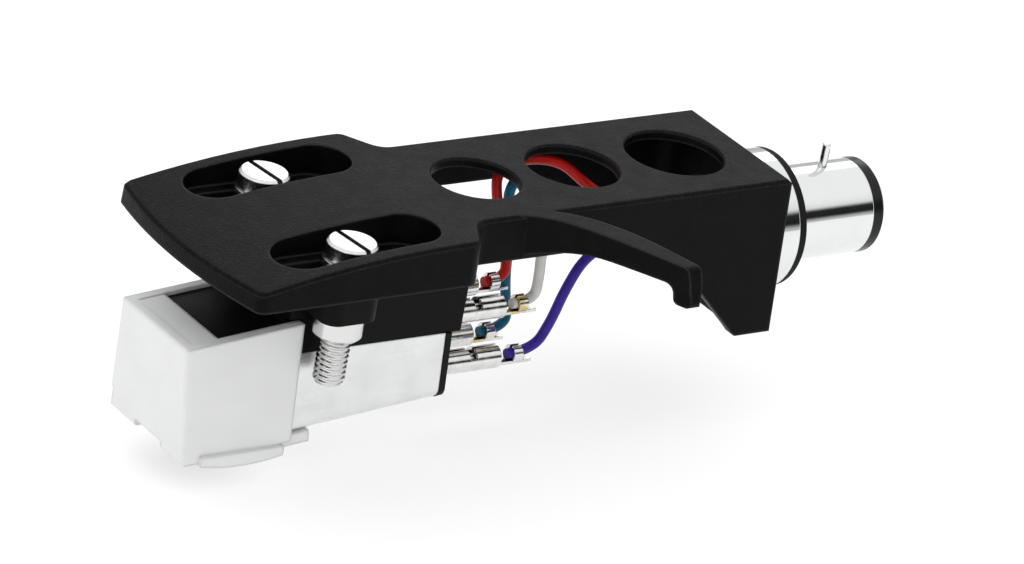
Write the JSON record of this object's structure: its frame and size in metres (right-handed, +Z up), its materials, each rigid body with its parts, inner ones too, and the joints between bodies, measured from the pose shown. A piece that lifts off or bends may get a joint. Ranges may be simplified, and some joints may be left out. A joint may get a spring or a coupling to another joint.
{
  "type": "headshell-mounted stylus cartridge",
  "caption": "Black plug-in headshell with a finger lift and round lightening holes, carrying a screwed-on moving-magnet cartridge with a white removable stylus carrier and coloured leads.",
  "frame": {"origin": "on the connector axis, at the rear face of the rubber washer, where the headshell seats against the tonearm", "axes": "+X along the connector axis towards the tonearm, +Y to the side away from the finger lift, +Z up, away from the record"},
  "size_m": [0.0696, 0.0296, 0.0204],
  "materials": {
    "shell_black": "satin, finely textured",
    "chrome": "polished",
    "washer_rubber": "matte",
    "insulator_black": "smooth, slightly glossy",
    "contact_gold": "gold plated",
    "screw_steel": "bright plated",
    "body_black": "matte moulded",
    "shield_silver": "bright plated sheet",
    "terminal_black": "matte",
    "clip_tin": "tinned, dull bright",
    "carrier_white": "satin moulded",
    "sleeve_metal": "drawn",
    "damper_rubber": "matte",
    "cantilever_aluminium": "drawn tube",
    "magnet": "plain",
    "tip_diamond": "polished",
    "yoke_iron": "annealed",
    "bobbin_plastic": "natural",
    "coil_copper": "enamelled copper wire",
    "lead_white": "satin insulation",
    "lead_violet": "satin insulation",
    "lead_red": "satin insulation",
    "lead_blue": "satin insulation"
  },
  "bodies": {
    "headshell": {"headshell_body": "shell_black", "connector_collar": "chrome", "connector_tube": "chrome", "rubber_washer": "washer_rubber", "connector_insulator": "insulator_black", "locking_pin": "chrome", "cartridge_body": "body_black", "shield_case": "shield_silver", "terminal_plate": "terminal_black", "contact_pin_1": "contact_gold", "contact_pin_2": "contact_gold", "contact_pin_3": "contact_gold", "contact_pin_4": "contact_gold", "output_pin_upper_near": "clip_tin", "output_pin_upper_far": "clip_tin", "output_pin_lower_near": "clip_tin", "output_pin_lower_far": "clip_tin", "mounting_screw_near": "screw_steel", "screw_washer_near": "screw_steel", "round_nut_near": "screw_steel", "pole_yoke_near": "yoke_iron", "coil_bobbin_near": "bobbin_plastic", "coil_winding_near": "coil_copper", "mounting_screw_far": "screw_steel", "screw_washer_far": "screw_steel", "round_nut_far": "screw_steel", "pole_yoke_far": "yoke_iron", "coil_bobbin_far": "bobbin_plastic", "coil_winding_far": "coil_copper", "lead_clip_white": "clip_tin", "lead_white": "lead_white", "lead_clip_violet": "clip_tin", "lead_violet": "lead_violet", "lead_clip_red": "clip_tin", "lead_red": "lead_red", "lead_clip_blue": "clip_tin", "lead_blue": "lead_blue"},
    "stylus": {"stylus_carrier": "carrier_white", "stylus_sleeve": "sleeve_metal"},
    "damper": {"suspension_damper": "damper_rubber"},
    "cantilever": {"cantilever": "cantilever_aluminium", "stylus_magnet": "magnet", "stylus_tip": "tip_diamond"}
  },
  "joints": [
    {"name": "stylus_pull_off", "type": "slide", "parent": "headshell", "child": "stylus", "axis": [-0.996, 0, -0.0889], "range_m": [0, 0.012]},
    {"name": "stylus_sideways", "type": "hinge", "parent": "stylus", "child": "damper", "pos_m": [-0.05107, 0, -0.00938], "axis": [-0.0889, 0, 0.996], "range_deg": [-3, 3], "stiffness_Nm_per_rad": 0.0036},
    {"name": "stylus_up_down", "type": "hinge", "parent": "damper", "child": "cantilever", "pos_m": [-0.05107, 0, -0.00938], "axis": [0, 1, 0], "range_deg": [-3, 3], "stiffness_Nm_per_rad": 0.0036}
  ]
}
